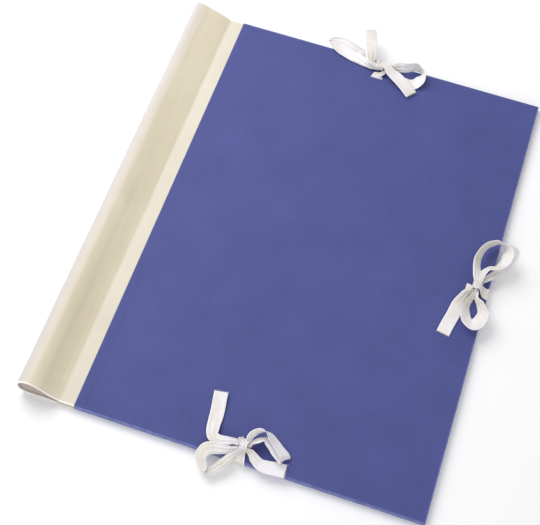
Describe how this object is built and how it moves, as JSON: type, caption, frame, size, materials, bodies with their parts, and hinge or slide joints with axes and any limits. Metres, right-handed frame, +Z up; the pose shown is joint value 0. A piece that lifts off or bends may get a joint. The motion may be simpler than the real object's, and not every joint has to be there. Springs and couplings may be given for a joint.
{
  "type": "paper tie folder",
  "caption": "Large flat folder of two paper-covered boards on a rounded cloth spine, held shut by cotton tapes tied in bows on three edges.",
  "frame": {"origin": "middle of the back cover's outer paper face, which is the face that the folder rests on", "axes": "+X runs from the spine to the fore edge, +Y to the head of the folder, +Z up through the front cover"},
  "size_m": [0.3747, 0.4824, 0.0239],
  "materials": {
    "cover_paper": "matt uncoated dyed cover paper, violet blue",
    "lining_paper": "matt off-white lining paper",
    "greyboard": "raw grey-brown pasteboard core, hidden under the papers",
    "spine_cloth": "fine plain-weave filled book cloth, cream",
    "cotton_tape": "soft woven cotton tape, white"
  },
  "bodies": {
    "root": {"back_board": "greyboard", "front_board": "greyboard", "back_cover_paper": "cover_paper", "front_cover_paper": "cover_paper", "back_lining_paper": "lining_paper", "front_lining_paper": "lining_paper", "spine_cloth": "spine_cloth", "head_front_tape": "cotton_tape", "head_back_tape": "cotton_tape", "fore_edge_front_tape": "cotton_tape", "fore_edge_back_tape": "cotton_tape", "tail_front_tape": "cotton_tape", "tail_back_tape": "cotton_tape"}
  },
  "joints": []
}
